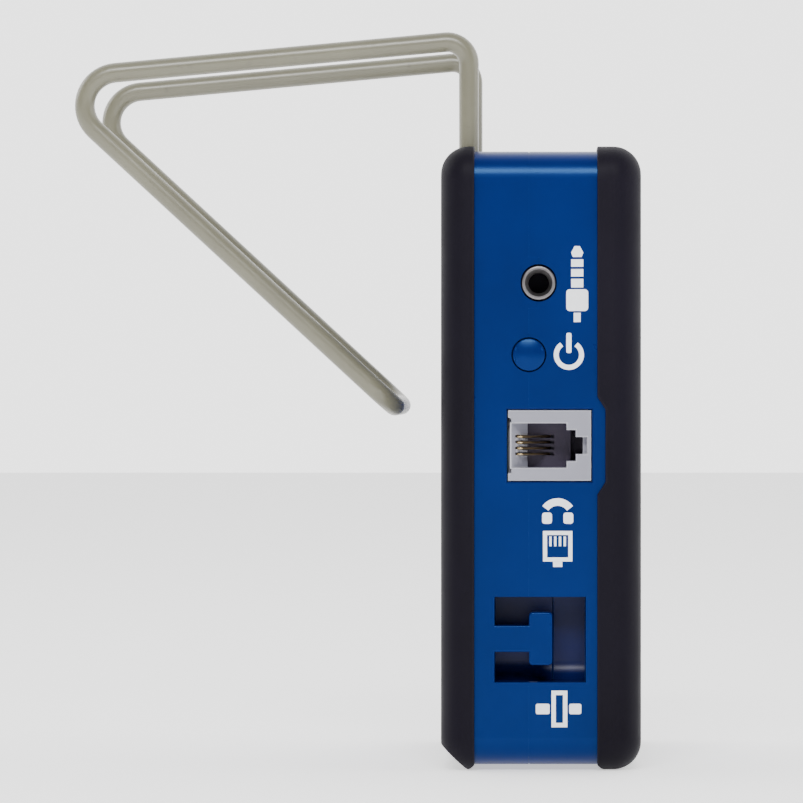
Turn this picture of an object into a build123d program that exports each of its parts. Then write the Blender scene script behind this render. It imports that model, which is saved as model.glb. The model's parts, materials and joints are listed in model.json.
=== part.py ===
from build123d import *
import os

# Handheld network cable tester with a wire hanger.
# Millimetres. The origin is the centre of the case's flat underside.
# +Z is up, -Y is the front (display and keys), +Y is the back, -X is the left side
# with the phone jack, the power-test button, the modular jack and the strain relief.

# ---------------------------------------------------------------- driving sizes
# Case
case_width = 72.0
case_height = 107.2
case_wall = 2.4
corner_r = 5.0
parting_y = 2.1
lip_thick = 0.9
lip_height = 1.4
lip_gap = 0.1
fit_gap = 0.15
seam_line = 0.12
edge_break = 0.25

# Boots: rubber frames pushed over stepped edges of the case
boot_front_y = -17.5
boot_back_y = 17.5
band_front_y = -9.8
band_back_y = 11.6
boot_proud = 0.9
boot_seat = 1.2
boot_edge_r = 4.9
boot_lip = 6.0
foot_bevel = 4.6
foot_ridge = 1.0
panel_sink_front = 1.3
panel_sink_back = 0.9

# Bumps of the case band into the front boot, beside the modular jacks
bump_depth = 1.4
bump_half = 8.5
bump_run = 2.2

# Left side, heights of the centres above the underside
phone_z = 84.1
phone_y = 0.4
phone_bore_d = 3.6
phone_ring_d = 6.1
phone_hole_gap = 0.1
phone_hole_ease = 0.12
power_z = 71.6
power_cap_d = 5.6
power_travel = 0.8
jack_z = 55.8

# Modular jacks: four-way on the left, eight-way on the right
jack_depth = 15.5
jack_sink = 0.3
jack_stop = 12.5
modular_width = 12.3
modular_cavity = 7.76
lan_width = 16.0
lan_cavity = 11.9
plug_y0 = -4.45
plug_y1 = 2.36
jack_front_y = -8.75
ramp_y = 5.25
ramp_run = 4.2
comb_y = 4.5
comb_slot = 0.58
contact_pitch = 1.02
contact_d = 0.4
insert_thick = 4.5
latch_stop = 0.8
latch_y1 = -6.05
latch_y2 = -7.3
latch_y3 = -8.05

# Strain relief
pocket_z0 = 14.6
pocket_z1 = 29.5
pocket_y0 = -7.8
pocket_y1 = 8.1
pocket_depth = 9.6
pocket_wall = 1.3
pocket_step = 0.6
cleat_z = 22.2
cleat_stem = 4.6
cleat_head = 9.2
cleat_reach = 4.1

# Hanger: one bent wire
wire_d = 3.5
hanger_half = 25.0
leg_y = 12.7
arm_rise = 20.0
arm_drop = 7.0
hook_y = 88.2
bar_y = 26.0
bar_drop = 64.5
leg_bend_r = 3.8
hook_bend_r = 5.85
bar_bend_r = 6.0
leg_engage = 21.2
hanger_travel = 16.0
guide_gap = 0.06
guide_width = 9.0
guide_back_wall = 0.5
guide_front_wall = 2.39
spring_bow = 1.8
spring_gap = 0.05
spring_drop = 6.6
spring_half = 4.8
pin_d = 1.6

# Display and keys
window_w = 48.0
window_h = 26.0
window_z = 77.5
lens_thick = 1.0
lens_border = 2.4
key_d = 11.0
key_travel = 0.8
key_pitch_x = 24.0
key_pitch_z = 17.0
key_z = 31.0
led_d = 3.0
led_z = 54.5
led_pitch = 12.0

# Boards
board_thick = 1.6
main_board_y = 5.75
main_board_z0 = 47.0
main_board_z1 = 92.0
display_board_y = -11.6
board_side_gap = 2.1

# Battery, 9 V size, upright behind the keys
battery_w = 26.5
battery_d = 17.5
battery_h = 46.4
stud_h = 2.1
battery_gap = 0.3
battery_z0 = 7.2
door_margin = 2.6
door_thick = 2.0

# Case screws
boss_d = 6.0
screw_d = 2.9
screw_head_d = 5.2
boss_top_x = 12.5
boss_top_z = 97.0
boss_low_x = 26.5
boss_low_z = 9.8

# Board screws and their posts
post_d = 5.0
board_screw_d = 2.4
post_top_x = 15.5
post_top_z = 86.0
post_low_x = 19.5
post_low_z = 67.0

# ---------------------------------------------------------------- worked-out places
half = case_width / 2
jack_face_x = -half + jack_sink
jack_stop_x = jack_face_x + jack_stop
inner_half = half - case_wall
inner_top = case_height - case_wall
board_half = inner_half - board_side_gap
phone_hole_d = phone_ring_d + 2 * phone_hole_gap
arm_z = case_height + arm_rise
bar_z = arm_z - bar_drop
leg_end_z = case_height - leg_engage
spring_z = inner_top - spring_drop
seat_half = half - boot_seat
panel_half = half - boot_lip
panel_front_y = boot_front_y + panel_sink_front
panel_back_y = boot_back_y - panel_sink_back
seat_front_y = panel_front_y + 1.0
seat_back_y = panel_back_y - 1.2
inner_front_y = panel_front_y + 2.0
inner_back_y = panel_back_y - 2.4
outer_half = half + boot_proud
foot_z = -boot_proud
pocket_x = -half + pocket_depth
bore_r = wire_d / 2 + guide_gap
spring_y = leg_y - wire_d / 2 - spring_gap - spring_bow
guide_back_y = leg_y + bore_r + guide_back_wall
guide_z0 = leg_end_z - hanger_travel
key_places = [(sx * key_pitch_x / 2, key_z + sz * key_pitch_z / 2) for sz in (1, -1) for sx in (-1, 1)]
boss_places = [(-boss_top_x, boss_top_z), (boss_top_x, boss_top_z)]
boss_places += [(-boss_low_x, boss_low_z), (boss_low_x, boss_low_z)]
post_places = [(-post_top_x, post_top_z), (post_top_x, post_top_z)]
post_places += [(-post_low_x, post_low_z), (post_low_x, post_low_z)]
bay_half = battery_w / 2 + battery_gap
bay_z0 = battery_z0 - battery_gap
bay_z1 = battery_z0 + battery_h + stud_h + 3.0
door_half = bay_half + door_margin
door_z0 = bay_z0 - 0.2
door_z1 = bay_z1 + 1.0
battery_back_y = inner_back_y - battery_gap
battery_front_y = battery_back_y - battery_d


# ---------------------------------------------------------------- helpers
def block(x0, x1, y0, y1, z0, z1):
    """Box between two corners."""
    place = Pos((x0 + x1) / 2, (y0 + y1) / 2, (z0 + z1) / 2)
    return place * Box(abs(x1 - x0), abs(y1 - y0), abs(z1 - z0))


def round_x(diameter, x0, x1, y, z):
    """Cylinder along X."""
    return Pos((x0 + x1) / 2, y, z) * Rot(0, 90, 0) * Cylinder(diameter / 2, abs(x1 - x0))


def round_y(diameter, y0, y1, x, z):
    """Cylinder along Y."""
    return Pos(x, (y0 + y1) / 2, z) * Rot(90, 0, 0) * Cylinder(diameter / 2, abs(y1 - y0))


def round_z(diameter, z0, z1, x, y):
    """Cylinder along Z."""
    return Pos(x, y, (z0 + z1) / 2) * Cylinder(diameter / 2, abs(z1 - z0))


def slab(half_w, z0, z1, radius, y0, y1):
    """Plate facing Y, symmetric about X = 0, with rounded corners."""
    face = Pos(0, (z0 + z1) / 2) * RectangleRounded(2 * half_w, z1 - z0, radius)
    return Pos(0, y1, 0) * extrude(Plane.XZ * face, y1 - y0)


def side_prism(points, x0, x1):
    """Outline given as (y, z) points, pushed along X."""
    face = make_face(Polyline(*points, close=True))
    return Pos(x0, 0, 0) * extrude(Plane.YZ * face, x1 - x0)


def plan_prism(points, z0, z1):
    """Outline given as (x, y) points, pushed along Z."""
    face = make_face(Polyline(*points, close=True))
    return Pos(0, 0, z0) * extrude(face, z1 - z0)


def both_sides(shape):
    """The shape and its copy on the other side of X = 0."""
    return shape + mirror(shape, Plane.YZ)


def save(shape, node):
    """Write one node's solids."""
    export_step(shape, "parts/" + node + ".step")


# ---------------------------------------------------------------- case outside
def bump(side, reach):
    """Widening of the band into the front boot, with sloped ends, out to a distance from the middle."""
    low = jack_z - bump_half
    high = jack_z + bump_half
    inner = band_front_y
    outer = band_front_y - bump_depth
    points = [(inner + 1, low), (inner, low), (outer, low + bump_run)]
    points += [(outer, high - bump_run), (inner, high), (inner + 1, high)]
    x0 = side * (seat_half - 1)
    x1 = side * reach
    return side_prism(points, min(x0, x1), max(x0, x1))


def case_envelope():
    """Outside of both shells together, with no openings."""
    seat_r = corner_r - boot_seat
    band = slab(half, 0, case_height, corner_r, band_front_y, band_back_y)
    seat = slab(seat_half, boot_seat, case_height - boot_seat, seat_r, seat_front_y, seat_back_y)
    panel = slab(panel_half, boot_lip, case_height - boot_lip, 3.0, panel_front_y, panel_back_y)
    return band + seat + panel + bump(-1, half) + bump(1, half)


def case_hollow():
    """Space inside the shells."""
    hollow_r = corner_r - case_wall
    return slab(inner_half, case_wall, inner_top, hollow_r, inner_front_y, inner_back_y)


def front_region():
    """Everything in front of the parting line, which jogs to the phone jack's centre."""
    jog_half = phone_ring_d / 2 + 1.4
    region = block(-60, 60, -40, parting_y, -20, 140)
    jog = block(-60, -inner_half + 0.5, phone_y, parting_y, phone_z - jog_half, phone_z + jog_half)
    return region - jog


# ---------------------------------------------------------------- openings in the case
def side_openings():
    """Holes in the side walls for the jacks and the power-test button."""
    inward = -inner_half + 0.2
    cuts = block(-half - 1, inward, phone_y - phone_hole_d / 2, phone_y + phone_hole_d / 2,
                 phone_z - phone_hole_ease, phone_z + phone_hole_ease)
    for z in (phone_z - phone_hole_ease, phone_z + phone_hole_ease):
        cuts += round_x(phone_hole_d, -half - 1, inward, phone_y, z)
    cuts += round_x(power_cap_d + 0.5, -half - 1, inward, parting_y, power_z)
    cuts += jack_hole(modular_width) + mirror(jack_hole(lan_width), Plane.YZ)
    return cuts + parting_groove()


def parting_groove():
    """Fine line along the joint of the shells, and the nicks beside the split round holes."""
    outer = slab(half + 1, -1, case_height + 1, corner_r + 1, parting_y - seam_line / 2, parting_y + seam_line / 2)
    inner = slab(half - seam_line, seam_line, case_height - seam_line, corner_r - seam_line, -30, 30)
    jog_half = phone_ring_d / 2 + 1.4
    groove = outer - inner
    groove -= block(-half - 2, 0, -30, 30, phone_z - jog_half, phone_z + jog_half)
    x1 = -half + 2 * seam_line
    nick = seam_line * 0.9
    groove += block(-half - 1, x1, phone_y - nick, phone_y + nick, phone_z - jog_half, phone_z + jog_half)
    power_half = power_cap_d / 2 + 0.8
    groove += block(-half - 1, x1, parting_y - nick, parting_y + nick, power_z - power_half, power_z + power_half)
    return groove


def jack_hole(width):
    """Hole in the left wall for a jack's housing, with its edge broken."""
    z0 = jack_z - width / 2 - fit_gap
    z1 = jack_z + width / 2 + fit_gap
    y0 = jack_front_y - fit_gap
    y1 = main_board_y + fit_gap
    hole = block(-half - 1, -inner_half + 1, y0, y1, z0, z1)
    flare = extrude(Plane((-half + edge_break, 0, 0), x_dir=(0, 1, 0), z_dir=(-1, 0, 0))
                    * Pos((y0 + y1) / 2, -(z0 + z1) / 2) * Rectangle(y1 - y0, z1 - z0), 2 * edge_break, taper=-45)
    return hole + flare


def front_openings():
    """Window, lens seat, key holes and light holes in the front panel."""
    z0 = window_z - window_h / 2
    z1 = window_z + window_h / 2
    cuts = slab(window_w / 2, z0, z1, 1.5, panel_front_y - 1, inner_front_y + 1)
    seat_y = panel_front_y + lens_thick
    cuts += slab(window_w / 2 + lens_border, z0 - lens_border, z1 + lens_border, 3.0, panel_front_y - 1, seat_y)
    for x, z in key_places:
        cuts += round_y(key_d + 0.6, panel_front_y - 1, inner_front_y + 1, x, z)
    for i in (-1, 0, 1):
        cuts += round_y(led_d + 0.2, panel_front_y - 1, inner_front_y + 1, i * led_pitch, led_z)
    return cuts


# ---------------------------------------------------------------- strain relief
def pocket_space():
    """Hollow that the tied cable lies in, its inner low edges rounded."""
    step_y = parting_y - cleat_reach - 0.1
    x0 = -inner_half - 0.5
    deep = block(x0, pocket_x, step_y, pocket_y1, pocket_z0, pocket_z1)
    shallow = block(x0, pocket_x - pocket_step, pocket_y0, step_y, pocket_z0, pocket_z1)
    return round_low_edge(deep) + round_low_edge(shallow)


def round_low_edge(hollow):
    """Rounds the low edge farthest from the window."""
    edge = hollow.edges().filter_by(Axis.Y).group_by(Axis.Z)[0].sort_by(Axis.X)[-1]
    return fillet(edge, 3.2)


def pocket_liner():
    """Tub behind the window of the strain relief, seated against the side walls."""
    reach = pocket_wall
    tub = block(-inner_half, pocket_x + reach, pocket_y0 - reach, pocket_y1 + reach,
                pocket_z0 - reach, pocket_z1 + reach)
    return tub - pocket_space()


def pocket_window():
    """Window of the strain relief through the side wall."""
    return block(-half - 1, -inner_half + 0.3, pocket_y0, pocket_y1, pocket_z0, pocket_z1)


def cleat():
    """T-shaped cleat in the plane of the side wall: the cable is tied over it."""
    x1 = -half + case_wall
    stem = block(-half, x1, parting_y - 1, pocket_y1 + 0.5, cleat_z - cleat_stem / 2, cleat_z + cleat_stem / 2)
    head_y0 = parting_y - cleat_reach
    head = block(-half, x1, head_y0, parting_y, cleat_z - cleat_head / 2, cleat_z + cleat_head / 2)
    head = fillet(head.edges().filter_by(Axis.X), 0.7)
    shape = stem + head
    rim = [e for e in shape.edges() if abs(e.center().X + half) < 0.01 and e.center().Y < pocket_y1]
    return fillet(rim, 0.3)


# ---------------------------------------------------------------- shells
def front_case():
    """Front shell: panel, front half of the side walls, bosses and half of the pocket."""
    region = front_region()
    walls = case_envelope() - case_hollow()
    inner_rim = slab(inner_half + lip_thick + lip_gap, case_wall - lip_thick - lip_gap,
                     inner_top + lip_thick + lip_gap, corner_r - case_wall + lip_thick,
                     parting_y - lip_height - lip_gap, parting_y + 0.1)
    inner_rim -= block(-half, -inner_half + 1, -5, 5, phone_z - 8, phone_z + 6)
    shell = walls - side_openings() - front_openings() - inner_rim - pocket_window()
    shell = shell & region
    boss_y1 = parting_y - 0.2
    for x, z in boss_places:
        shell += round_y(boss_d, inner_front_y - 0.5, boss_y1, x, z)
        shell -= round_y(screw_d - 0.5, inner_front_y + 3, boss_y1 + 1, x, z)
    return shell


def rear_case():
    """Rear shell: back, rear half of the side walls, lip, cleat, battery bay and screw wells."""
    region = block(-60, 60, -40, 60, -20, 140) - front_region()
    shell = case_envelope() - case_hollow() - pocket_window() - side_openings()
    shell = shell & region
    shell += cleat()
    shell += rear_lip()
    shell += battery_bay()
    boss_y0 = parting_y
    for x, z in boss_places:
        shell += round_y(boss_d, boss_y0, inner_back_y + 0.5, x, z)
        shell -= round_y(screw_d + 0.4, boss_y0 - 1, boot_back_y, x, z)
        shell -= round_y(screw_head_d + 0.4, parting_y + 6, boot_back_y, x, z)
    leg_hole = round_z(wire_d + 0.6, inner_top - 1, case_height + 1, hanger_half, leg_y)
    shell -= both_sides(leg_hole + guide_seat())
    for x, z in post_places:
        shell += round_y(post_d, main_board_y + board_thick, inner_back_y + 0.5, x, z)
        shell -= round_y(board_screw_d - 0.4, main_board_y, inner_back_y - 0.5, x, z)
    shell -= battery_bay_space()
    return shell


def guide_seat():
    """Recess in the back wall that a hanger guide sits in."""
    reach = guide_width / 2 + 0.05
    return block(hanger_half - reach, hanger_half + reach, leg_y, guide_back_y + 0.05, guide_z0 - 0.05, inner_top)


def rear_lip():
    """Tongue that enters the front shell all round, left out beside the pocket and the holes."""
    outer = slab(inner_half + lip_thick, case_wall - lip_thick, inner_top + lip_thick,
                 corner_r - case_wall + lip_thick, parting_y - lip_height, parting_y + 1)
    lip = outer - slab(inner_half, case_wall, inner_top, corner_r - case_wall, -30, 30)
    lip -= block(-half, -inner_half + 1, -30, 30, phone_z - 8.2, phone_z + 6.2)
    lip -= block(-half, 0, -30, 30, power_z - 5, power_z + 5)
    lip -= block(-half, half, -30, 30, jack_z - lan_width / 2 - 1, jack_z + lan_width / 2 + 1)
    lip -= block(-half, 0, -30, 30, pocket_z0 - pocket_wall - 0.3, pocket_z1 + pocket_wall + 0.3)
    return lip


def battery_bay():
    """Box inside the rear shell that holds the battery."""
    wall = 1.2
    y0 = battery_front_y - battery_gap - wall
    return block(-bay_half - wall, bay_half + wall, y0, inner_back_y + 0.5, bay_z0 - wall, bay_z1 + wall)


def battery_bay_space():
    """Battery space and the opening for its door, with a seat for the door's rim."""
    y0 = battery_front_y - battery_gap
    space = block(-bay_half, bay_half, y0, boot_back_y, bay_z0, bay_z1)
    seat_y = panel_back_y - door_thick
    rim = slab(door_half, door_z0, door_z1, 2.0, seat_y, boot_back_y)
    return space + rim


# ---------------------------------------------------------------- boots
def boot_blank(front):
    """Outside of one boot before it is hollowed, front or back."""
    y0 = boot_front_y if front else band_back_y
    y1 = band_front_y if front else boot_back_y
    blank = slab(outer_half, foot_z, case_height + boot_proud, corner_r + boot_proud, y0, y1)
    rim = blank.faces().sort_by(Axis.Y)[0 if front else -1].edges()
    blank = fillet(rim, boot_edge_r)
    if not front:
        corner = boot_back_y + 0.3
        bevel = [(corner, foot_z), (corner, foot_z + foot_bevel + 0.3), (corner - foot_bevel - 0.3, foot_z)]
        blank -= side_prism(bevel, -60, 60)
    inner_y = y1 if front else y0
    step = -foot_ridge if front else foot_ridge
    relief = [(inner_y, foot_z - 0.01), (inner_y, 0), (inner_y + step, foot_z - 0.01)]
    return blank - side_prism(relief, -60, 60)


def boot(front):
    """Rubber frame round one edge of the case, open over the panel."""
    shape = boot_blank(front) - case_envelope()
    if front:
        shape -= bump(-1, outer_half + 1) + bump(1, outer_half + 1)
    low = boot_lip
    high = case_height - boot_lip
    if front:
        opening = slab(panel_half, low, high, 3.0, boot_front_y - 1, seat_front_y)
    else:
        opening = slab(panel_half, low, high, 3.0, seat_back_y, boot_back_y + 1)
        leg_notch = round_z(wire_d + 1.0, inner_top, case_height + 3, hanger_half, leg_y)
        shape -= both_sides(leg_notch)
    return shape - opening


# ---------------------------------------------------------------- modular jacks
def jack_housing(width, cavity_half, latch_half, ways):
    """Light grey housing of a modular jack on the left side, mouth facing -X.
    Its cavity has a lead-in ramp slotted for the contacts, and a stepped slot for the plug's latch."""
    back_x = jack_face_x + jack_depth
    body = block(jack_face_x, back_x, jack_front_y, main_board_y, jack_z - width / 2, jack_z + width / 2)
    body -= block(jack_face_x - 1, jack_stop_x, plug_y0, plug_y1, jack_z - cavity_half, jack_z + cavity_half)
    ramp = [(jack_face_x - 0.01, plug_y1 - 0.1), (jack_face_x - 0.01, ramp_y), (jack_face_x + ramp_run, plug_y1)]
    ramp += [(jack_face_x + ramp_run, plug_y1 - 0.1)]
    body -= plan_prism(ramp, jack_z - cavity_half, jack_z + cavity_half)
    for z in contact_places(ways):
        body -= block(jack_face_x + 0.9, jack_stop_x, plug_y1 - 0.1, comb_y, z - comb_slot / 2, z + comb_slot / 2)
    wide, narrow = latch_half
    body -= block(jack_face_x - 1, jack_stop_x, latch_y1, plug_y0 + 0.1, jack_z - wide, jack_z + wide)
    body -= block(jack_face_x - 1, jack_stop_x, latch_y2, latch_y1 + 0.1, jack_z - narrow, jack_z + narrow)
    body -= block(jack_face_x - 1, jack_face_x + 2, latch_y3, latch_y2 + 0.1, jack_z - narrow, jack_z + narrow)
    relief = width / 2 - 1.35
    body -= block(jack_face_x - 1, jack_face_x + 3, main_board_y - 0.45, main_board_y + 1,
                  jack_z - relief, jack_z + relief)
    return body


def jack_insert(cavity_half, latch_half, ways):
    """Dark contact carrier behind the cavity, slotted for the contacts, with a stop in the latch slot."""
    face_x = jack_stop_x - insert_thick
    wide, narrow = latch_half
    carrier = block(face_x, jack_stop_x, plug_y0, plug_y1, jack_z - cavity_half, jack_z + cavity_half)
    carrier += block(face_x, jack_stop_x, plug_y0 - 0.75, plug_y0 + 0.1, jack_z - wide, jack_z + wide)
    back = jack_stop_x - latch_stop
    carrier += block(back, jack_stop_x, latch_y1, plug_y0, jack_z - wide, jack_z + wide)
    carrier += block(back, jack_stop_x, latch_y2, latch_y1, jack_z - narrow, jack_z + narrow)
    for z in contact_places(ways):
        carrier -= block(face_x - 1, face_x + 1.6, -2.3, 0.1, z - comb_slot / 2, z + comb_slot / 2)
    return carrier


def jack_contacts(ways):
    """Sprung contact wires: each lies in its comb slot, turns at the mouth and slants back to the carrier."""
    wires = []
    for z in contact_places(ways):
        points = [(jack_face_x + 8.5, comb_y - 0.35, z), (jack_face_x + 1.7, comb_y - 0.35, z)]
        points += [(jack_face_x + 1.5, comb_y - 1.1, z), (jack_stop_x - insert_thick + 1.0, -1.5, z)]
        path = FilletPolyline(*points, radius=0.3)
        wires.append(sweep(Plane(path @ 0, z_dir=path % 0) * Circle(contact_d / 2), path))
    return Compound(children=wires)


def contact_places(ways):
    """Heights of a jack's contacts."""
    return [jack_z + (i - (ways - 1) / 2) * contact_pitch for i in range(ways)]


def phone_jack_parts():
    """Four-way jack on the left side."""
    housing = jack_housing(modular_width, modular_cavity / 2, (2.7, 1.5), 4)
    return housing, jack_insert(modular_cavity / 2, (2.7, 1.5), 4), jack_contacts(4)


def lan_jack_parts():
    """Eight-way jack, made on the left side and mirrored to the right."""
    housing = jack_housing(lan_width, lan_cavity / 2, (3.3, 2.1), 8)
    pieces = (housing, jack_insert(lan_cavity / 2, (3.3, 2.1), 8), jack_contacts(8))
    return [mirror(piece, Plane.YZ) for piece in pieces]


# ---------------------------------------------------------------- phone jack and power button
def phone_bushing():
    """Nickel bushing of the 3.5 mm jack, with a bevelled mouth."""
    x0 = -half + 0.05
    x1 = x0 + 4.5
    ring = round_x(phone_ring_d, x0, x1, phone_y, phone_z)
    ring = fillet(ring.edges().sort_by(Axis.X)[0], 0.4)
    ring -= round_x(phone_bore_d, x0 - 1, x1 + 1, phone_y, phone_z)
    mouth = Pos(x0 + 0.4, phone_y, phone_z) * Rot(0, 90, 0) * Cone(2.4, phone_bore_d / 2, 0.82)
    return ring - mouth


def phone_body():
    """Black body of the 3.5 mm jack, on the main board."""
    x0 = -half + 4.55
    body = block(x0, x0 + 12, phone_y - 3.6, main_board_y, phone_z - 4.5, phone_z + 4.5)
    return body - round_x(phone_bore_d + 0.4, x0 - 1, x0 + 11, phone_y, phone_z)


def power_cap():
    """Domed cap with a retaining flange inside the wall."""
    x_face = -half - 0.1
    x_flange = -inner_half + 0.15
    cap = round_x(power_cap_d, x_face, x_flange + 1, parting_y, power_z)
    dome_r = 9.0
    dome_rise = dome_r - (dome_r ** 2 - (power_cap_d / 2) ** 2) ** 0.5
    dome = Pos(x_face + dome_r - dome_rise, parting_y, power_z) * Sphere(dome_r)
    dome &= round_x(power_cap_d, x_face - 1, x_face + 0.01, parting_y, power_z)
    cap += dome
    flange = round_x(power_cap_d + 2.0, x_flange, x_flange + 0.9, parting_y, power_z)
    return cap + flange


def power_switch():
    """Tact switch body on the main board, and its plunger."""
    x0 = -inner_half + 3.2
    body = block(x0, x0 + 3.6, parting_y - 3.0, main_board_y, power_z - 3.0, power_z + 3.0)
    body -= round_x(2.6, x0 - 1, x0 + 1.6 + power_travel, parting_y, power_z)
    plunger = round_x(2.4, -inner_half + 1.15, x0 + 1.4, parting_y, power_z)
    return body, plunger


# ---------------------------------------------------------------- front parts
def lens():
    """Clear window over the display."""
    z0 = window_z - window_h / 2 - lens_border + fit_gap
    z1 = window_z + window_h / 2 + lens_border - fit_gap
    edge = window_w / 2 + lens_border - fit_gap
    return slab(edge, z0, z1, 2.8, panel_front_y + 0.1, panel_front_y + lens_thick)


def display_parts():
    """Metal frame of the display module, and the glass in it."""
    z0 = window_z - window_h / 2 - 2.0
    z1 = window_z + window_h / 2 + 2.0
    y0 = inner_front_y + 0.1
    y1 = display_board_y
    frame = block(-window_w / 2 - 2, window_w / 2 + 2, y0, y1, z0, z1)
    view = block(-window_w / 2 + 1, window_w / 2 - 1, y0 - 1, y0 + 0.5, z0 + 3.0, z1 - 3.0)
    cell = block(-window_w / 2 + 0.5, window_w / 2 - 0.5, y0 + 0.5, y1 - 0.4, z0 + 1.0, z1 - 1.0)
    return frame - view - cell, cell


def display_board():
    """Board behind the display and the keys, held on the front bosses."""
    board = slab(board_half, 5.5, case_height - 7.0, 2.0, display_board_y, display_board_y + board_thick)
    for x, z in boss_places:
        board -= round_y(boss_d + 0.6, -30, 30, x, z)
    board -= pocket_box_clearance()
    return board


def pocket_box_clearance():
    """Room kept clear round the pocket's walls."""
    return block(-60, pocket_x + pocket_wall + 0.3, pocket_y0 - pocket_wall - 0.3, 30, pocket_z0 - 2, pocket_z1 + 2)


def keypad_mat():
    """Silicone sheet on the display board, with a well behind each key."""
    edge_x = key_pitch_x / 2 + key_d / 2 + 2
    edge_z = key_pitch_z / 2 + key_d / 2 + 2
    mat = slab(edge_x, key_z - edge_z, key_z + edge_z, 3.0, display_board_y - 1.0, display_board_y)
    for x, z in key_places:
        mat -= round_y(key_d - 1.5, -30, 30, x, z)
    return mat


def front_key(x, z):
    """Round rubber key with a flange behind the panel and a post over the board's pad."""
    top_y = boot_front_y + 0.25
    flange_y = inner_front_y + 0.1
    key = round_y(key_d, top_y, flange_y + 0.5, x, z)
    key = fillet(key.edges().sort_by(Axis.Y)[0], 0.7)
    key += round_y(key_d + 2.0, flange_y, flange_y + 0.6, x, z)
    key += round_y(key_d - 3.0, flange_y, display_board_y - key_travel - 0.2, x, z)
    return key


def indicator(x):
    """Indicator light: dome, body and base flange."""
    light = round_y(led_d, panel_front_y - 0.5, display_board_y, x, led_z)
    light = fillet(light.edges().sort_by(Axis.Y)[0], led_d / 2 - 0.3)
    return light + round_y(led_d + 0.8, inner_front_y + 0.2, inner_front_y + 1.2, x, led_z)


# ---------------------------------------------------------------- boards and what is on them
def main_board():
    """Board that carries the jacks, cut away round the battery bay and the screw bosses."""
    y1 = main_board_y + board_thick
    z0 = main_board_z0
    board = block(-board_half, board_half, main_board_y, y1, z0, main_board_z1)
    board -= block(-bay_half - 2, bay_half + 2, -30, 30, z0 - 1, bay_z1 + 2)
    for x, z in post_places:
        board -= round_y(board_screw_d + 0.3, -30, 30, x, z)
    return board


def board_header():
    """Connector between the two boards."""
    y0 = display_board_y + board_thick
    return block(-10, 10, y0, main_board_y, 68, 72.5)


def chips():
    """Controller and driver packages on the main board."""
    controller = block(-6, 6, main_board_y - 1.6, main_board_y, 77, 89)
    driver = block(8.5, 14.5, main_board_y - 1.5, main_board_y, 79, 83)
    return Compound(children=[controller, driver])


def buzzer():
    """Round sounder with a central hole."""
    y0 = main_board_y - 5.0
    shape = round_y(12.0, y0, main_board_y, 24, 84)
    return shape - round_y(2.0, y0 - 1, y0 + 1, 24, 84)


# ---------------------------------------------------------------- battery
def battery():
    """Battery can with its top step."""
    can = block(-battery_w / 2, battery_w / 2, battery_front_y, battery_back_y, battery_z0, battery_z0 + battery_h)
    can = fillet(can.edges().filter_by(Axis.Z), 2.0)
    return fillet(can.edges().group_by(Axis.Z)[-1], 0.6)


def battery_studs():
    """The battery's two snap studs."""
    mid_y = (battery_front_y + battery_back_y) / 2
    z0 = battery_z0 + battery_h
    small = round_z(5.6, z0, z0 + stud_h, -6.35, mid_y)
    large = round_z(7.2, z0, z0 + stud_h, 6.35, mid_y)
    return Compound(children=[small, large])


def terminal_block():
    """Contact block above the battery's studs."""
    z0 = battery_z0 + battery_h + stud_h + 0.1
    mid_y = (battery_front_y + battery_back_y) / 2
    shape = block(-11, 11, mid_y - 5, mid_y + 5, z0, bay_z1)
    return shape


def battery_door():
    """Lift-off door with a thumb recess and two tongues that enter the bay."""
    rim = slab(door_half - fit_gap, door_z0 + fit_gap, door_z1 - fit_gap, 1.85,
               panel_back_y - door_thick + 0.05, panel_back_y)
    mid_z = door_z1 - 9.0
    scoop = Pos(0, panel_back_y + 11.0, mid_z) * Rot(0, 90, 0) * Cylinder(12.0, 16)
    rim -= scoop
    tongue_y = panel_back_y - door_thick
    for x in (-bay_half + 3, bay_half - 6):
        rim += block(x, x + 3, tongue_y - 0.15, tongue_y + 0.2, bay_z0 + 2, bay_z0 + 6)
    return rim


# ---------------------------------------------------------------- hanger
def hanger():
    """One bent wire: leg, arm, diagonal, crossbar and back again."""
    side = hanger_half
    points = [(-side, leg_y, leg_end_z), (-side, leg_y, arm_z), (-side, hook_y, arm_z - arm_drop)]
    points += [(-side, bar_y, bar_z), (side, bar_y, bar_z), (side, hook_y, arm_z - arm_drop)]
    points += [(side, leg_y, arm_z), (side, leg_y, leg_end_z)]
    radii = [leg_bend_r, hook_bend_r, bar_bend_r, bar_bend_r, hook_bend_r, leg_bend_r]
    path = FilletPolyline(*points, radius=radii)
    rod = sweep(Plane(path @ 0, z_dir=path % 0) * Circle(wire_d / 2), path)
    pin_hole = round_x(pin_d, -side - 5, -side + 5, leg_y, leg_end_z + 3)
    return rod - both_sides(pin_hole)


def retaining_pins():
    """Cross pins that stop the legs pulling out."""
    z = leg_end_z + 3
    reach = guide_width / 2 - 1.4
    pin = round_x(pin_d, hanger_half - reach, hanger_half + reach, leg_y, z)
    return both_sides(pin)


def hanger_guide(side):
    """Nylon guide of one leg, with a slot that its cross pin slides in."""
    x = side * hanger_half
    top = inner_top
    front_y = leg_y - bore_r - guide_front_wall
    guide = block(x - guide_width / 2, x + guide_width / 2, front_y, guide_back_y, guide_z0, top)
    guide -= round_z(2 * bore_r, guide_z0 - 1, top + 1, x, leg_y)
    slot_half = guide_width / 2 - 1.2
    slot_top = leg_end_z + 3 + pin_d / 2 + 0.3
    slot = block(x - slot_half, x + slot_half, leg_y - pin_d / 2 - 0.2, leg_y + pin_d / 2 + 0.2, guide_z0 - 1, slot_top)
    guide -= slot
    return guide - spring_seat(x)


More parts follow.
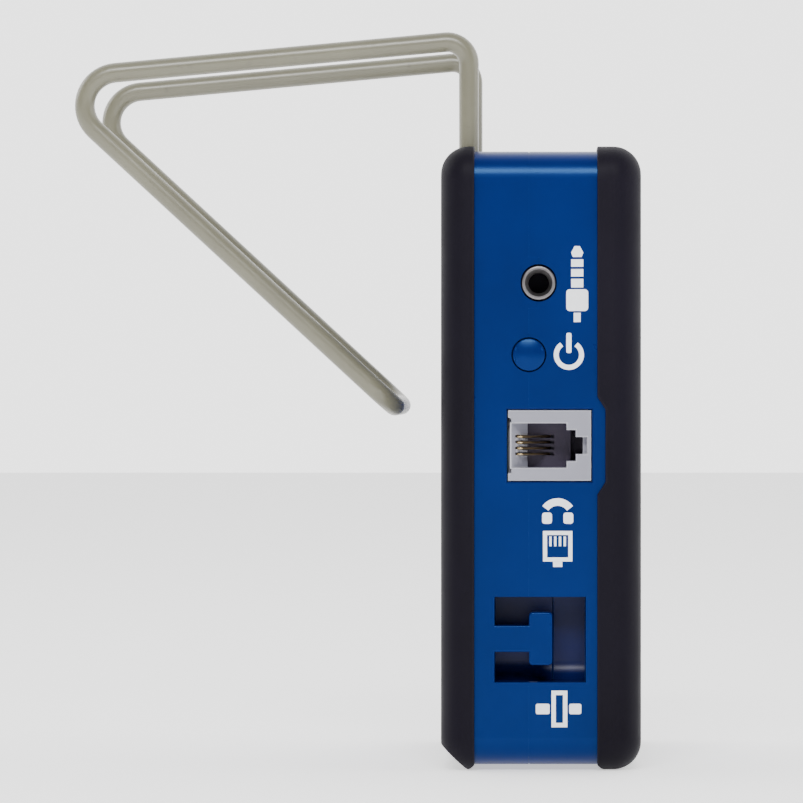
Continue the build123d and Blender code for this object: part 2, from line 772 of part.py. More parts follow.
def spring_seat(x):
    """Pocket in a guide's front for the friction spring."""
    return block(x - 2.2, x + 2.2, spring_y - 0.7, leg_y - 1.0, spring_z - spring_half - 0.4, spring_z + spring_half + 0.5)


def friction_springs():
    """Bowed leaf springs that rub on the legs."""
    y = spring_y
    z0 = spring_z - spring_half
    z1 = spring_z + spring_half
    bow = [(y, z0), (y - 0.4, z0), (y + spring_bow - 0.45, spring_z), (y - 0.4, z1), (y, z1), (y + spring_bow, spring_z)]
    leaf = side_prism(bow, hanger_half - 1.9, hanger_half + 1.9)
    return both_sides(leaf)


# ---------------------------------------------------------------- screws
def case_screws():
    """Four self-tapping screws, from the back into the front bosses."""
    screws = []
    for x, z in boss_places:
        head_y = parting_y + 6
        shank = round_y(screw_d - 0.5, parting_y - 9, head_y + 0.5, x, z)
        head = round_y(screw_head_d, head_y, head_y + 2.2, x, z)
        recess = block(x - 1.6, x + 1.6, head_y + 1.2, head_y + 3, z - 0.35, z + 0.35)
        recess += block(x - 0.35, x + 0.35, head_y + 1.2, head_y + 3, z - 1.6, z + 1.6)
        screws.append(shank + head - recess)
    return Compound(children=screws)


def board_screws():
    """Four screws that hold the main board to the rear shell's posts."""
    screws = []
    for x, z in post_places:
        shank = round_y(board_screw_d - 0.4, main_board_y - 0.5, main_board_y + 6.0, x, z)
        head = round_y(4.2, main_board_y - 1.6, main_board_y, x, z)
        slot = block(x - 1.4, x + 1.4, main_board_y - 2, main_board_y - 0.9, z - 0.3, z + 0.3)
        screws.append(shank + head - slot)
    return Compound(children=screws)


# ---------------------------------------------------------------- write every node
save(front_case(), "front_case")
save(rear_case(), "rear_case")
save(boot(True), "front_boot")
save(boot(False), "rear_boot")
save(pocket_liner(), "strain_relief_liner")

housing, insert, contacts = phone_jack_parts()
save(housing, "modular_jack_housing")
save(insert, "modular_jack_insert")
save(contacts, "modular_jack_contacts")
housing, insert, contacts = lan_jack_parts()
save(housing, "lan_jack_housing")
save(insert, "lan_jack_insert")
save(contacts, "lan_jack_contacts")

save(phone_bushing(), "mini_jack_bushing")
save(phone_body(), "mini_jack_body")
switch_body, plunger = power_switch()
save(power_cap(), "power_test_button")
save(plunger, "power_switch_plunger")
save(switch_body, "power_switch_body")

save(lens(), "display_lens")
display_frame, display_glass = display_parts()
save(display_frame, "display_frame")
save(display_glass, "display_glass")
save(display_board(), "display_board")
save(keypad_mat(), "keypad_mat")
key_names = ["key_top_left", "key_top_right", "key_low_left", "key_low_right"]
for key_name, place in zip(key_names, key_places):
    save(front_key(*place), key_name)
for light_name, i in zip(["light_left", "light_middle", "light_right"], (-1, 0, 1)):
    save(indicator(i * led_pitch), light_name)

save(main_board(), "main_board")
save(board_header(), "board_header")
save(chips(), "board_chips")
save(buzzer(), "buzzer")

save(battery(), "battery")
save(battery_studs(), "battery_studs")
save(terminal_block(), "battery_terminal_block")
save(battery_door(), "battery_door")

save(hanger(), "hanger_wire")
save(retaining_pins(), "hanger_retaining_pins")
save(hanger_guide(-1), "hanger_guide_left")
save(hanger_guide(1), "hanger_guide_right")
save(friction_springs(), "hanger_friction_springs")
save(case_screws(), "case_screws")
save(board_screws(), "board_screws")
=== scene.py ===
import json
import math

import bmesh
import bpy
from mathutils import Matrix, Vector


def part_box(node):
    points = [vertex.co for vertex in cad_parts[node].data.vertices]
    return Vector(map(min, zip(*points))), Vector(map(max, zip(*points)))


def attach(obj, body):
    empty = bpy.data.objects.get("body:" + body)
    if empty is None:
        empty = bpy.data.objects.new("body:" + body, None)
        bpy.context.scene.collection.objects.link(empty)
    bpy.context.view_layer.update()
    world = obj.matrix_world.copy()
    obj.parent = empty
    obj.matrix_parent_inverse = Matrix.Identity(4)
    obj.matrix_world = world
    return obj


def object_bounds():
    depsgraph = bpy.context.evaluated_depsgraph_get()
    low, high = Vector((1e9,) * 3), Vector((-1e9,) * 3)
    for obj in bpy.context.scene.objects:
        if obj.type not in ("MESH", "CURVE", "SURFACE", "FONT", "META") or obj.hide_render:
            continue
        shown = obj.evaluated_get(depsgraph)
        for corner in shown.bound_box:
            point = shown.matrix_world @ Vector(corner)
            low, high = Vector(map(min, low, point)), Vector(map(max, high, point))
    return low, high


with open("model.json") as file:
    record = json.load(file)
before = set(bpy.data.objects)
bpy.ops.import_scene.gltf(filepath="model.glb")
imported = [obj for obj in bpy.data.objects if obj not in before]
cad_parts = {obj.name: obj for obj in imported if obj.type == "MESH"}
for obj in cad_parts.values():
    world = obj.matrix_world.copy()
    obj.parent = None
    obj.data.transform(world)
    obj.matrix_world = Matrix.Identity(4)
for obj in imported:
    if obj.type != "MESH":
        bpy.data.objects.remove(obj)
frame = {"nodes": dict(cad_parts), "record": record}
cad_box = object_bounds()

NODES = frame["nodes"]
MM = 0.001

# camera: metres, and millimetres of lens and sensor
CAMERA_DISTANCE = 0.789
CAMERA_HEIGHT = 0.0646
CAMERA_LENS = 203.4
CAMERA_SENSOR = 36.0
CAMERA_SHIFT = (-0.1737, -0.0081)

# rubbed edges: reach in metres, and how far the normal turns from none to full wear
WEAR_RADIUS = 0.00022
WEAR_TURN = (0.03, 0.25)

# printed marks in millimetres: gap under an island, and its height
INK_GAP = 0.004
INK_THICK = 0.03
THIN_INK = 0.02

# stage and light: the floor's half size, its glow, and the sky from dark to bright along +X
FLOOR_HALF = 3.0
FLOOR_GLOW = 0.75
SKY_SPAN = (-0.3, 0.6)
SKY_STRENGTH = (0.32, 2.8)


# ---------------------------------------------------------------- camera
def make_camera():
    """Long lens level with the middle of the case, square to its left side."""
    lo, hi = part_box("front_case")
    data = bpy.data.cameras.new("camera")
    data.sensor_width = CAMERA_SENSOR
    data.lens = CAMERA_LENS
    data.shift_x, data.shift_y = CAMERA_SHIFT
    data.clip_start = 0.05
    data.clip_end = 20.0
    data.dof.use_dof = False
    cam = bpy.data.objects.new("camera", data)
    cam.location = (lo.x - CAMERA_DISTANCE, 0.0, lo.z + CAMERA_HEIGHT)
    cam.rotation_euler = (math.radians(90), 0, math.radians(-90))
    bpy.context.scene.collection.objects.link(cam)
    bpy.context.scene.camera = cam


# ---------------------------------------------------------------- node helpers
class Nodes:
    """A short way to write a material's node tree."""

    def __init__(self, name):
        self.mat = bpy.data.materials.new(name)
        self.mat.use_nodes = True
        self.tree = self.mat.node_tree
        self.tree.nodes.clear()
        self.out = self.tree.nodes.new("ShaderNodeOutputMaterial")
        self.bsdf = self.tree.nodes.new("ShaderNodeBsdfPrincipled")
        self.link(self.bsdf.outputs["BSDF"], self.out.inputs["Surface"])
        self.coord = self.tree.nodes.new("ShaderNodeTexCoord").outputs["Object"]

    def link(self, a, b):
        self.tree.links.new(a, b)

    def set(self, **values):
        for key, value in values.items():
            self.bsdf.inputs[key.replace("_", " ")].default_value = value

    def noise(self, scale, detail=4.0, rough=0.5, vector=None):
        node = self.tree.nodes.new("ShaderNodeTexNoise")
        node.inputs["Scale"].default_value = scale
        node.inputs["Detail"].default_value = detail
        node.inputs["Roughness"].default_value = rough
        self.link(vector or self.coord, node.inputs["Vector"])
        return node.outputs["Fac"]

    def voronoi(self, scale):
        node = self.tree.nodes.new("ShaderNodeTexVoronoi")
        node.inputs["Scale"].default_value = scale
        self.link(self.coord, node.inputs["Vector"])
        return node.outputs["Distance"]

    def stretched(self, sx, sy, sz):
        node = self.tree.nodes.new("ShaderNodeMapping")
        node.inputs["Scale"].default_value = (sx, sy, sz)
        self.link(self.coord, node.inputs["Vector"])
        return node.outputs["Vector"]

    def ramp(self, value, low, high):
        """A value as black below low, white above high."""
        node = self.tree.nodes.new("ShaderNodeValToRGB")
        node.color_ramp.elements[0].position = low
        node.color_ramp.elements[1].position = high
        node.color_ramp.elements[0].color = (0, 0, 0, 1)
        node.color_ramp.elements[1].color = (1, 1, 1, 1)
        self.link(value, node.inputs["Fac"])
        return node.outputs["Color"]

    def spread(self, value, low, high):
        """A 0-1 value mapped to a low-high range."""
        node = self.tree.nodes.new("ShaderNodeMapRange")
        node.inputs["To Min"].default_value = low
        node.inputs["To Max"].default_value = high
        self.link(value, node.inputs["Value"])
        return node.outputs["Result"]

    def mix(self, factor, a, b):
        node = self.tree.nodes.new("ShaderNodeMix")
        node.data_type = "RGBA"
        for socket, value in ((node.inputs["Factor"], factor), (node.inputs[6], a), (node.inputs[7], b)):
            if isinstance(value, (float, int, tuple)):
                socket.default_value = value
            else:
                self.link(value, socket)
        return node.outputs[2]

    def edges(self):
        """Rubbed edges: where the surface turns within the wear radius."""
        bevel = self.tree.nodes.new("ShaderNodeBevel")
        bevel.samples = 4
        bevel.inputs["Radius"].default_value = WEAR_RADIUS
        geometry = self.tree.nodes.new("ShaderNodeNewGeometry")
        turn = self.tree.nodes.new("ShaderNodeVectorMath")
        turn.operation = "DISTANCE"
        self.link(bevel.outputs["Normal"], turn.inputs[0])
        self.link(geometry.outputs["Normal"], turn.inputs[1])
        return self.ramp(turn.outputs["Value"], *WEAR_TURN)

    def bump(self, *layers):
        """Bump from (height, strength, distance in metres) layers, one on another."""
        last = None
        for height, strength, distance in layers:
            node = self.tree.nodes.new("ShaderNodeBump")
            node.inputs["Strength"].default_value = strength
            node.inputs["Distance"].default_value = distance
            self.link(height, node.inputs["Height"])
            if last:
                self.link(last, node.inputs["Normal"])
            last = node.outputs["Normal"]
        self.link(last, self.bsdf.inputs["Normal"])

    def base(self, socket):
        self.link(socket, self.bsdf.inputs["Base Color"])

    def roughness(self, socket):
        self.link(socket, self.bsdf.inputs["Roughness"])


def moulded(name, dark, light, rough_low, rough_high,
            grain=2600.0, grain_depth=0.00002, specular=0.5, wear=None):
    """Moulded plastic or rubber: soft colour drift, fine grain and rubbed edges."""
    n = Nodes(name)
    drift = n.noise(38.0, 5.0, 0.55)
    grain_value = n.noise(grain, 3.0, 0.6)
    colour = n.mix(n.ramp(drift, 0.35, 0.68), dark, light)
    colour = n.mix(n.spread(grain_value, 0.0, 0.22), colour, light)
    if wear:
        colour = n.mix(n.edges(), colour, wear)
    n.base(colour)
    n.roughness(n.spread(n.noise(120.0, 4.0), rough_low, rough_high))
    n.bump((grain_value, 0.35, grain_depth), (n.noise(520.0, 3.0), 0.25, grain_depth * 1.6))
    n.set(Specular_IOR_Level=specular)
    return n


# ---------------------------------------------------------------- materials
def blue_plastic():
    n = moulded("case_blue", (0.0001, 0.0045, 0.066, 1), (0.0003, 0.0075, 0.09, 1), 0.25, 0.33,
                grain=3200.0, grain_depth=0.000014, specular=0.4, wear=(0.0003, 0.008, 0.09, 1))
    n.set(Specular_Tint=(0.17, 0.48, 1.0, 1))
    return n.mat


# Painted shade: the pocket's walls are the case's own blue plastic, coloured darker and greyer here to
# stand for the shade deep inside the pocket; its lighter edges are rubbed wear
def liner_blue():
    n = moulded("liner_blue", (0.0006, 0.0035, 0.048, 1), (0.0012, 0.0065, 0.075, 1), 0.3, 0.42,
                grain=2800.0, grain_depth=0.000015, specular=0.22, wear=(0.008, 0.02, 0.09, 1))
    return n.mat


def boot_rubber():
    n = moulded("boot_rubber", (0.0016, 0.0007, 0.004, 1), (0.0035, 0.0022, 0.0072, 1), 0.5, 0.66,
                grain=2200.0, grain_depth=0.00003, specular=0.12, wear=(0.01, 0.008, 0.016, 1))
    return n.mat


def key_rubber():
    n = moulded("key_rubber", (0.03, 0.031, 0.035, 1), (0.048, 0.049, 0.055, 1), 0.55, 0.72,
                grain=3000.0, specular=0.4, wear=(0.09, 0.09, 0.1, 1))
    return n.mat


def jack_grey():
    n = moulded("jack_grey", (0.225, 0.225, 0.27, 1), (0.27, 0.27, 0.32, 1), 0.38, 0.52,
                grain=2600.0, grain_depth=0.00001, specular=0.35, wear=(0.4, 0.4, 0.44, 1))
    return n.mat


def jack_dark():
    n = moulded("jack_dark", (0.04, 0.031, 0.056, 1), (0.058, 0.046, 0.078, 1), 0.4, 0.6, specular=0.3)
    return n.mat


def coated_wire():
    """Baked coating on steel wire: slight orange peel and faint handling marks."""
    n = Nodes("hanger_coat")
    drift = n.noise(60.0, 5.0, 0.6)
    colour = n.mix(n.ramp(drift, 0.3, 0.7), (0.128, 0.122, 0.084, 1), (0.152, 0.146, 0.1, 1))
    colour = n.mix(n.ramp(n.noise(420.0, 3.0), 0.64, 0.78), colour, (0.118, 0.112, 0.078, 1))
    n.base(colour)
    n.roughness(n.spread(n.noise(240.0, 4.0), 0.28, 0.42))
    n.bump((n.noise(900.0, 2.0), 0.25, 0.00003), (n.noise(300.0, 2.0), 0.2, 0.00005))
    n.set(Coat_Weight=0.25, Coat_Roughness=0.25)
    return n.mat


def metal(name, colour, rough_low, rough_high, scratch=(1, 1, 1)):
    n = Nodes(name)
    dull = tuple(0.7 * c for c in colour[:3]) + (1,)
    n.base(n.mix(n.ramp(n.noise(300.0, 4.0), 0.35, 0.7), colour, dull))
    fine = n.noise(900.0, 6.0, 0.7, n.stretched(*scratch))
    n.roughness(n.spread(fine, rough_low, rough_high))
    n.bump((fine, 0.12, 0.00001))
    n.set(Metallic=1.0)
    return n.mat


def clear_lens():
    n = Nodes("lens_clear")
    n.base(n.mix(n.noise(60.0, 2.0), (0.93, 0.96, 0.96, 1), (0.97, 0.98, 0.98, 1)))
    n.roughness(n.spread(n.noise(90.0, 5.0, 0.7), 0.02, 0.07))
    n.bump((n.noise(25.0, 1.0), 0.03, 0.00003))
    n.set(Transmission_Weight=1.0, IOR=1.49)
    return n.mat


def display_cell():
    """Reflective display: grey-green with a fine pixel grid."""
    n = Nodes("display_cell")
    grid = n.voronoi(1400.0)
    colour = n.mix(n.noise(14.0, 2.0), (0.30, 0.36, 0.27, 1), (0.35, 0.41, 0.31, 1))
    n.base(n.mix(n.spread(grid, 0.0, 0.15), colour, (0.22, 0.27, 0.2, 1)))
    n.roughness(n.spread(grid, 0.28, 0.4))
    n.bump((grid, 0.1, 0.00001))
    return n.mat


def board_green():
    n = Nodes("board_green")
    weave = n.noise(500.0, 2.0, 0.5, n.stretched(1, 1, 6))
    n.base(n.mix(weave, (0.006, 0.055, 0.022, 1), (0.012, 0.09, 0.036, 1)))
    n.roughness(n.spread(weave, 0.25, 0.4))
    n.bump((weave, 0.2, 0.00003))
    return n.mat


def light_plastic(name, colour):
    n = Nodes(name)
    pale = tuple(min(1.0, 1.5 * c + 0.02) for c in colour[:3]) + (1,)
    n.base(n.mix(n.noise(400.0, 3.0), colour, pale))
    n.roughness(n.spread(n.noise(500.0, 3.0), 0.18, 0.3))
    n.bump((n.noise(800.0, 2.0), 0.1, 0.00001))
    n.set(Transmission_Weight=0.3, Coat_Weight=0.4)
    return n.mat


def print_ink(name, thin, full):
    """Screen-printed ink: slightly raised, a little uneven."""
    n = Nodes(name)
    n.base(n.mix(n.noise(900.0, 3.0), thin, full))
    n.roughness(n.spread(n.noise(700.0, 3.0), 0.45, 0.6))
    n.bump((n.noise(1500.0, 3.0), 0.2, 0.00001))
    return n.mat


def label_film():
    """Silver label film: brushed sheen under a clear coat."""
    n = Nodes("label_film")
    brushed = n.noise(900.0, 4.0, 0.7, n.stretched(0.15, 1, 1))
    n.base(n.mix(brushed, (0.36, 0.37, 0.39, 1), (0.48, 0.49, 0.51, 1)))
    n.roughness(n.spread(n.noise(300.0, 3.0), 0.3, 0.42))
    n.bump((brushed, 0.1, 0.00001))
    n.set(Metallic=0.35, Coat_Weight=0.3)
    return n.mat


def make_materials():
    return {
        "case_blue": blue_plastic(),
        # liner_blue: the case blue darkened as painted shade for the inside of the cable pocket
        "liner_blue": liner_blue(),
        "boot_rubber": boot_rubber(),
        "key_rubber": key_rubber(),
        "jack_grey": jack_grey(),
        "jack_dark": jack_dark(),
        "hanger_coat": coated_wire(),
        "contact_metal": metal("contact_metal", (0.62, 0.47, 0.25, 1), 0.28, 0.42),
        "nickel": metal("nickel", (0.2, 0.19, 0.195, 1), 0.3, 0.45),
        "screw_steel": metal("screw_steel", (0.55, 0.54, 0.53, 1), 0.25, 0.42, (1, 6, 1)),
        "display_metal": metal("display_metal", (0.5, 0.5, 0.5, 1), 0.3, 0.45, (8, 1, 1)),
        "battery_can": metal("battery_can", (0.2, 0.2, 0.22, 1), 0.25, 0.4, (1, 1, 8)),
        "lens_clear": clear_lens(),
        "display_cell": display_cell(),
        "board_green": board_green(),
        "guide_nylon": moulded("guide_nylon", (0.6, 0.58, 0.52, 1), (0.7, 0.68, 0.62, 1), 0.4, 0.55).mat,
        "light_green": light_plastic("light_green", (0.03, 0.32, 0.06, 1)),
        "light_amber": light_plastic("light_amber", (0.6, 0.28, 0.02, 1)),
        "light_red": light_plastic("light_red", (0.45, 0.02, 0.015, 1)),
        "print_white": print_ink("print_white", (0.8, 0.82, 0.86, 1), (0.95, 0.96, 0.98, 1)),
        "print_black": print_ink("print_black", (0.008, 0.008, 0.01, 1), (0.016, 0.016, 0.019, 1)),
        "segment_ink": print_ink("segment_ink", (0.012, 0.016, 0.018, 1), (0.022, 0.028, 0.03, 1)),
        "label_film": label_film(),
    }


def dress_nodes(mats):
    """Each CAD node takes its record slot's material."""
    for entry in frame["record"]["subparts"]:
        node = NODES[entry["node"]]
        node.data.materials.clear()
        node.data.materials.append(mats[entry["material_slot"]])


# ---------------------------------------------------------------- rounded edges on CAD nodes
EDGE_ROUNDING = {
    "front_boot": 0.25, "rear_boot": 0.25, "strain_relief_liner": 0.2,
    "modular_jack_housing": 0.15, "lan_jack_housing": 0.15, "battery_door": 0.25,
    "power_test_button": 0.1, "mini_jack_body": 0.1, "display_lens": 0.1,
}


def soften_edges():
    """Welds each CAD mesh and rounds its sharp edges, in millimetres."""
    for name, width in EDGE_ROUNDING.items():
        node = NODES[name]
        weld = node.modifiers.new("weld", "WELD")
        weld.merge_threshold = 0.000002
        bevel = node.modifiers.new("edge", "BEVEL")
        bevel.width = width * MM
        bevel.segments = 3
        bevel.limit_method = "ANGLE"
        bevel.angle_limit = math.radians(38)
        bevel.use_clamp_overlap = False
        flat = node.modifiers.new("flat", "WEIGHTED_NORMAL")
        flat.keep_sharp = True


# ---------------------------------------------------------------- printed marks
class Print:
    """Thin raised marks on a flat face, drawn in millimetres in that face's own two directions."""

    def __init__(self, origin, across, up, out, thick=INK_THICK):
        self.origin, self.across, self.up, self.out = (Vector(v) for v in (origin, across, up, out))
        self.thick = thick
        self.bm = bmesh.new()

    def point(self, u, v, lift):
        return (self.origin + self.across * u + self.up * v + self.out * lift) * MM

    def fill(self, outline):
        """A closed outline as a raised island."""
        low = [self.bm.verts.new(self.point(u, v, INK_GAP)) for u, v in outline]
        high = [self.bm.verts.new(self.point(u, v, self.thick)) for u, v in outline]
        self.bm.faces.new(high)
        for i in range(len(outline)):
            j = (i + 1) % len(outline)
            self.bm.faces.new((low[i], low[j], high[j], high[i]))

    def stroke(self, points, width, closed=False):
        """A line of constant width through the points, mitred at each corner."""
        count = len(points)
        left, right = [], []
        for i in range(count):
            here = Vector(points[i])
            before = Vector(points[(i - 1) % count]) if closed or i > 0 else None
            after = Vector(points[(i + 1) % count]) if closed or i < count - 1 else None
            d0 = (here - before).normalized() if before else (after - here).normalized()
            d1 = (after - here).normalized() if after else d0
            n0, n1 = Vector((-d0.y, d0.x)), Vector((-d1.y, d1.x))
            mitre = (n0 + n1).normalized()
            reach = width / 2 / max(mitre.dot(n0), 0.4)
            left.append(here + mitre * reach)
            right.append(here - mitre * reach)
        steps = count if closed else count - 1
        for i in range(steps):
            j = (i + 1) % count
            self.fill([left[i], left[j], right[j], right[i]])

    def arc(self, u, v, radius, start, end, width, steps=28):
        turn = [math.radians(start + (end - start) * i / steps) for i in range(steps + 1)]
        self.stroke([(u + radius * math.cos(t), v + radius * math.sin(t)) for t in turn], width)

    def disc(self, u, v, radius, steps=24):
        turn = [2 * math.pi * i / steps for i in range(steps)]
        self.fill([(u + radius * math.cos(t), v + radius * math.sin(t)) for t in turn])

    def bar(self, u0, v0, u1, v1, radius=0.0):
        """A rectangle with rounded corners."""
        if radius <= 0:
            self.fill([(u0, v0), (u1, v0), (u1, v1), (u0, v1)])
            return
        outline = []
        corners = ((u1 - radius, v1 - radius, 0), (u0 + radius, v1 - radius, 90),
                   (u0 + radius, v0 + radius, 180), (u1 - radius, v0 + radius, 270))
        for cu, cv, start in corners:
            for i in range(5):
                t = math.radians(start + 90 * i / 4)
                outline.append((cu + radius * math.cos(t), cv + radius * math.sin(t)))
        self.fill(outline)

    def done(self, name, material, body):
        bmesh.ops.recalc_face_normals(self.bm, faces=self.bm.faces[:])
        mesh = bpy.data.meshes.new(name)
        self.bm.to_mesh(mesh)
        self.bm.free()
        mesh.materials.append(material)
        piece = bpy.data.objects.new(name, mesh)
        bpy.context.scene.collection.objects.link(piece)
        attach(piece, body)
        return piece


SEGMENTS = {1: "bc", 2: "abged", 3: "abgcd", 4: "fgbc", 5: "afgcd", 6: "afgecd", 7: "abc", 8: "abcdefg"}


def digit(pen, value, u, v, high, width):
    """One seven-segment digit, its lower left corner at (u, v)."""
    w, h = high * 0.5, high / 2
    ends = {
        "a": ((0, 2 * h), (w, 2 * h)), "b": ((w, h), (w, 2 * h)), "c": ((w, 0), (w, h)),
        "d": ((0, 0), (w, 0)), "e": ((0, 0), (0, h)), "f": ((0, h), (0, 2 * h)), "g": ((0, h), (w, h)),
    }
    for name in SEGMENTS[value]:
        (u0, v0), (u1, v1) = ends[name]
        du, dv = (0.12 * high, 0) if u0 != u1 else (0, 0.06 * high)
        pen.stroke([(u + u0 + du * 0.5, v + v0 + dv), (u + u1 - du * 0.5, v + v1 - dv)], width)


def left_side_marks(mats):
    """Symbols beside each socket, where the real side carries its captions."""
    lo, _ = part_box("front_case")
    pen = Print((lo.x / MM, 0, 0), (0, -1, 0), (0, 0, 1), (-1, 0, 0))
    # phone plug, tip up
    u = 6.3
    pen.fill([(u - 0.75, 88.6), (u + 0.75, 88.6), (u + 1.05, 89.35),
              (u + 0.45, 90.5), (u - 0.45, 90.5), (u - 1.05, 89.35)])
    for v0, v1 in ((86.9, 88.2), (85.2, 86.5), (83.3, 84.8)):
        pen.bar(u - 1.05, v0, u + 1.05, v1)
    pen.bar(u - 1.9, 79.2, u + 1.9, 83.0, 0.6)
    pen.bar(u - 0.6, 77.3, u + 0.6, 78.9)
    # power symbol
    pen.arc(4.85, 71.6, 2.2, 125, 415, 0.85)
    pen.bar(4.4, 71.9, 5.3, 75.4, 0.3)
    # handset
    pen.arc(2.9, 43.4, 2.6, 35, 145, 1.3)
    pen.bar(0.2, 42.2, 1.9, 44.15, 0.45)
    pen.bar(3.9, 42.2, 5.6, 44.15, 0.45)
    # four-way plug
    pen.stroke([(0.7, 36.0), (5.1, 36.0), (5.1, 40.6), (0.7, 40.6)], 0.7, True)
    for i in range(4):
        pen.bar(1.45 + 0.83 * i, 38.3, 1.85 + 0.83 * i, 40.0)
    pen.bar(2.1, 34.7, 3.7, 35.64)
    # cable under a strap
    pen.bar(-0.9, 9.1, 1.5, 10.9, 0.3)
    pen.bar(4.9, 9.1, 7.0, 10.9, 0.3)
    pen.stroke([(2.2, 7.2), (4.2, 7.2), (4.2, 12.8), (2.2, 12.8)], 0.75, True)
    pen.done("left_side_symbols", mats["print_white"], "body")


def right_side_marks(mats):
    """Network symbol and pin-one dot beside the eight-way socket."""
    _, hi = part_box("front_case")
    pen = Print((hi.x / MM, 0, 0), (0, 1, 0), (0, 0, 1), (1, 0, 0))
    pen.stroke([(-4.4, 42.66), (-4.4, 44.0), (0.4, 44.0), (0.4, 42.66)], 0.55)
    pen.bar(-2.3, 44.28, -1.7, 45.24)
    for u0, v0 in ((-5.6, 40.2), (-0.8, 40.2), (-3.2, 45.5)):
        pen.stroke([(u0, v0), (u0 + 2.4, v0), (u0 + 2.4, v0 + 2.2), (u0, v0 + 2.2)], 0.5, True)
    pen.disc(3.6, 66.6, 0.45)
    pen.done("right_side_symbols", mats["print_white"], "body")


def front_marks(mats):
    """Border under the window, lamp symbols, and a line round the keys."""
    window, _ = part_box("display_lens")
    panel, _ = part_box("front_case")
    border = Print((0, window.y / MM, 0), (1, 0, 0), (0, 0, 1), (0, -1, 0), THIN_INK)
    outer = rounded_loop(26.1, 62.3, 92.7, 2.6)
    inner = rounded_loop(23.4, 65.1, 89.9, 1.2)
    for i in range(len(outer)):
        j = (i + 1) % len(outer)
        border.fill([outer[i], outer[j], inner[j], inner[i]])
    border.done("window_border", mats["print_black"], "body")
    pen = Print((0, panel.y / MM, 0), (1, 0, 0), (0, 0, 1), (0, -1, 0))
    pen.stroke([(-13.3, 58.5), (-12.3, 57.6), (-10.4, 60.0)], 0.45)
    pen.stroke([(-1.5, 57.5), (1.5, 57.5), (0, 60.2)], 0.4, True)
    pen.stroke([(10.8, 57.6), (13.2, 60.0)], 0.45)
    pen.stroke([(10.8, 60.0), (11.7, 59.1)], 0.45)
    pen.stroke([(12.3, 58.5), (13.2, 57.6)], 0.45)
    pen.stroke(rounded_loop(24.5, 12.0, 50.0, 4.0), 0.35, True)
    pen.done("front_symbols", mats["print_white"], "body")


def rounded_loop(half, v0, v1, radius):
    """Points round a rectangle with rounded corners, centred on u = 0."""
    loop = []
    for cu, cv, start in ((half - radius, v1 - radius, 0), (-half + radius, v1 - radius, 90),
                          (-half + radius, v0 + radius, 180), (half - radius, v0 + radius, 270)):
        for i in range(7):
            t = math.radians(start + 15 * i)
            loop.append((cu + radius * math.cos(t), cv + radius * math.sin(t)))
    return loop


def display_marks(mats):
    """Wire map on the display: two rows of pin numbers joined by lines, one pair crossed."""
    lo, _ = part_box("display_glass")
    pen = Print((0, lo.y / MM, 0), (1, 0, 0), (0, 0, 1), (0, -1, 0), THIN_INK)
    for i in range(8):
        u = -18.2 + 4.9 * i
        digit(pen, i + 1, u, 84.2, 3.4, 0.42)
        digit(pen, i + 1, u, 70.4, 3.4, 0.42)
        end = u + (4.9 if i == 2 else -4.9 if i == 3 else 0)
        pen.stroke([(u + 0.85, 83.2), (u + 0.85, 81.6), (end + 0.85, 77.0), (end + 0.85, 74.9)], 0.34)
    pen.stroke([(-20.5, 68.9), (20.5, 68.9)], 0.25)
    for i in range(5):
        pen.bar(-20.4 + 1.5 * i, 66.8, -19.4 + 1.5 * i, 68.0)
    pen.stroke([(15.8, 66.8), (19.8, 66.8), (19.8, 68.1), (15.8, 68.1)], 0.22, True)
    pen.bar(16.2, 67.1, 18.6, 67.8)
    pen.done("display_wire_map", mats["segment_ink"], "body")


def key_marks(mats):
    """One symbol on each key."""
    for name in ("key_top_left", "key_top_right", "key_low_left", "key_low_right"):
        lo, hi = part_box(name)
        u, v = (lo.x + hi.x) / 2 / MM, (lo.z + hi.z) / 2 / MM
        pen = Print((0, lo.y / MM, 0), (1, 0, 0), (0, 0, 1), (0, -1, 0))
        if name == "key_top_left":
            pen.arc(u, v - 0.1, 1.9, 125, 415, 0.55)
            pen.bar(u - 0.28, v, u + 0.28, v + 2.6, 0.2)
        elif name == "key_top_right":
            pen.fill([(u - 1.5, v - 2.2), (u + 2.3, v), (u - 1.5, v + 2.2)])
        elif name == "key_low_left":
            for dv in (-1.6, 0, 1.6):
                pen.stroke([(u - 2.2, v + dv), (u + 2.2, v + dv)], 0.5)
        else:
            pen.arc(u, v, 1.0, 0, 360, 0.45)
            for i in range(8):
                t = math.radians(45 * i)
                a, b = math.cos(t), math.sin(t)
                pen.stroke([(u + 1.7 * a, v + 1.7 * b), (u + 2.5 * a, v + 2.5 * b)], 0.45)
        pen.done(name + "_symbol", mats["print_white"], name + "_body")


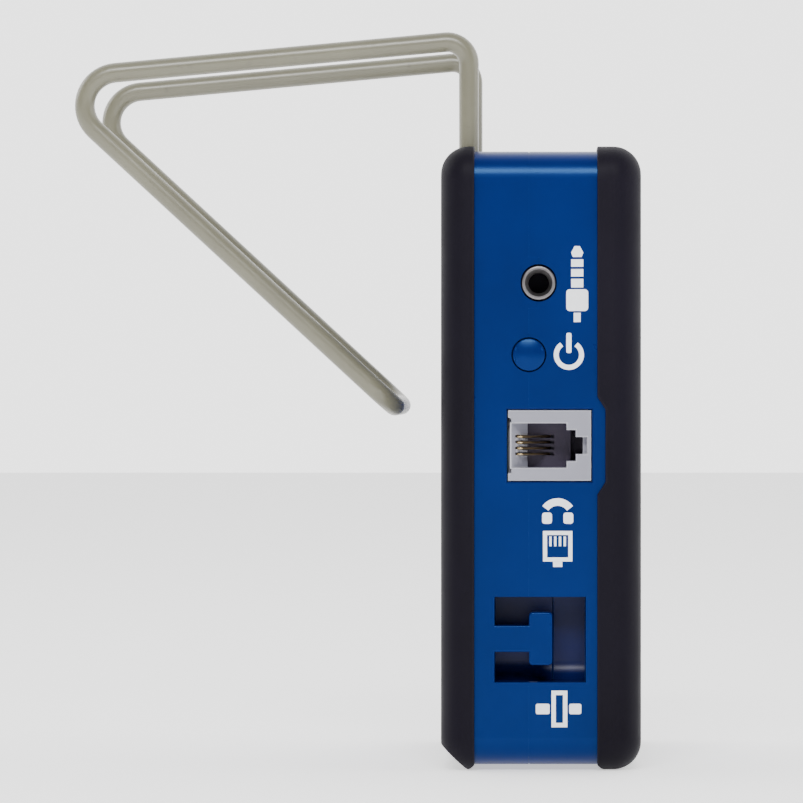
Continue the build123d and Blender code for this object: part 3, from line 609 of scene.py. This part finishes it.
def back_marks(mats):
    """Blank rating label above the battery door, and the door's arrow."""
    lo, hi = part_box("battery_door")
    door_y = hi.y / MM
    film = 0.05
    label = Print((0, door_y, 0), (-1, 0, 0), (0, 0, 1), (0, 1, 0), film)
    label.bar(-13.0, 66.5, 13.0, 84.5, 1.6)
    label.done("rating_label", mats["label_film"], "body")
    pen = Print((0, door_y + film, 0), (-1, 0, 0), (0, 0, 1), (0, 1, 0), THIN_INK)
    pen.stroke(rounded_loop(12.2, 67.3, 83.7, 1.2), 0.25, True)
    pen.stroke([(-9.5, 77.2), (-9.5, 81.2), (-5.5, 81.2), (-5.5, 77.2)], 0.35, True)
    pen.bar(-8.1, 81.2, -6.9, 82.0)
    for v in (80.6, 79.2, 77.8):
        pen.stroke([(-3.0, v), (9.8, v)], 0.4)
    for i in range(26):
        pen.bar(-9.8 + 0.76 * i, 69.4, -9.8 + 0.76 * i + (0.22, 0.4, 0.16)[i % 3], 73.6)
    pen.done("rating_label_print", mats["print_black"], "body")
    arrow = Print((0, door_y, 0), (-1, 0, 0), (0, 0, 1), (0, 1, 0), 0.25)
    z = lo.z / MM + 9.0
    arrow.stroke([(-3.2, z + 1.6), (0, z - 1.6), (3.2, z + 1.6)], 0.9)
    for i in range(5):
        arrow.bar(-7.0, z + 4.6 + 1.7 * i, 7.0, z + 5.3 + 1.7 * i, 0.3)
    arrow.done("battery_door_grip", mats["case_blue"], "battery_cover")


# ---------------------------------------------------------------- stage and light
def make_stage():
    z = cad_box[0].z
    mesh = bpy.data.meshes.new("floor")
    bm = bmesh.new()
    corners = ((-1, -1), (1, -1), (1, 1), (-1, 1))
    bm.faces.new([bm.verts.new((x * FLOOR_HALF, y * FLOOR_HALF, z)) for x, y in corners])
    bm.to_mesh(mesh)
    bm.free()
    floor = bpy.data.objects.new("floor", mesh)
    bpy.context.scene.collection.objects.link(floor)
    n = Nodes("floor_paper")
    n.base(n.mix(n.noise(8.0, 3.0), (0.86, 0.86, 0.86, 1), (0.9, 0.9, 0.9, 1)))
    n.roughness(n.spread(n.noise(40.0, 4.0), 0.7, 0.85))
    n.set(Emission_Color=(1, 1, 1, 1), Emission_Strength=FLOOR_GLOW)
    floor.data.materials.append(n.mat)


def area_light(name, place, target, size, power):
    data = bpy.data.lights.new(name, "AREA")
    data.shape = "RECTANGLE"
    data.size, data.size_y = size
    data.energy = power
    lamp = bpy.data.objects.new(name, data)
    lamp.location = place
    direction = Vector(target) - Vector(place)
    lamp.rotation_euler = direction.to_track_quat("-Z", "Y").to_euler()
    bpy.context.scene.collection.objects.link(lamp)


def make_light():
    world = bpy.data.worlds.new("studio")
    world.use_nodes = True
    tree = world.node_tree
    background = tree.nodes["Background"]
    background.inputs["Color"].default_value = (1.0, 1.0, 1.0, 1)
    coord = tree.nodes.new("ShaderNodeTexCoord")
    split = tree.nodes.new("ShaderNodeSeparateXYZ")
    tree.links.new(coord.outputs["Generated"], split.inputs["Vector"])
    fade = tree.nodes.new("ShaderNodeMapRange")
    fade.inputs["From Min"].default_value, fade.inputs["From Max"].default_value = SKY_SPAN
    fade.inputs["To Min"].default_value, fade.inputs["To Max"].default_value = SKY_STRENGTH
    tree.links.new(split.outputs["X"], fade.inputs["Value"])
    tree.links.new(fade.outputs["Result"], background.inputs["Strength"])
    bpy.context.scene.world = world
    area_light("key", (-1.4, 0.08, 1.1), (0, 0, 0.07), (0.9, 0.5), 30.0)
    area_light("front_fill", (-0.2, -1.1, 0.5), (0, 0, 0.06), (0.6, 0.6), 4.0)
    area_light("back_fill", (0.3, 1.1, 0.6), (0, 0, 0.06), (0.6, 0.6), 4.0)


# ---------------------------------------------------------------- build
make_camera()
MATS = make_materials()
dress_nodes(MATS)
soften_edges()
left_side_marks(MATS)
right_side_marks(MATS)
front_marks(MATS)
display_marks(MATS)
key_marks(MATS)
back_marks(MATS)
make_stage()
make_light()
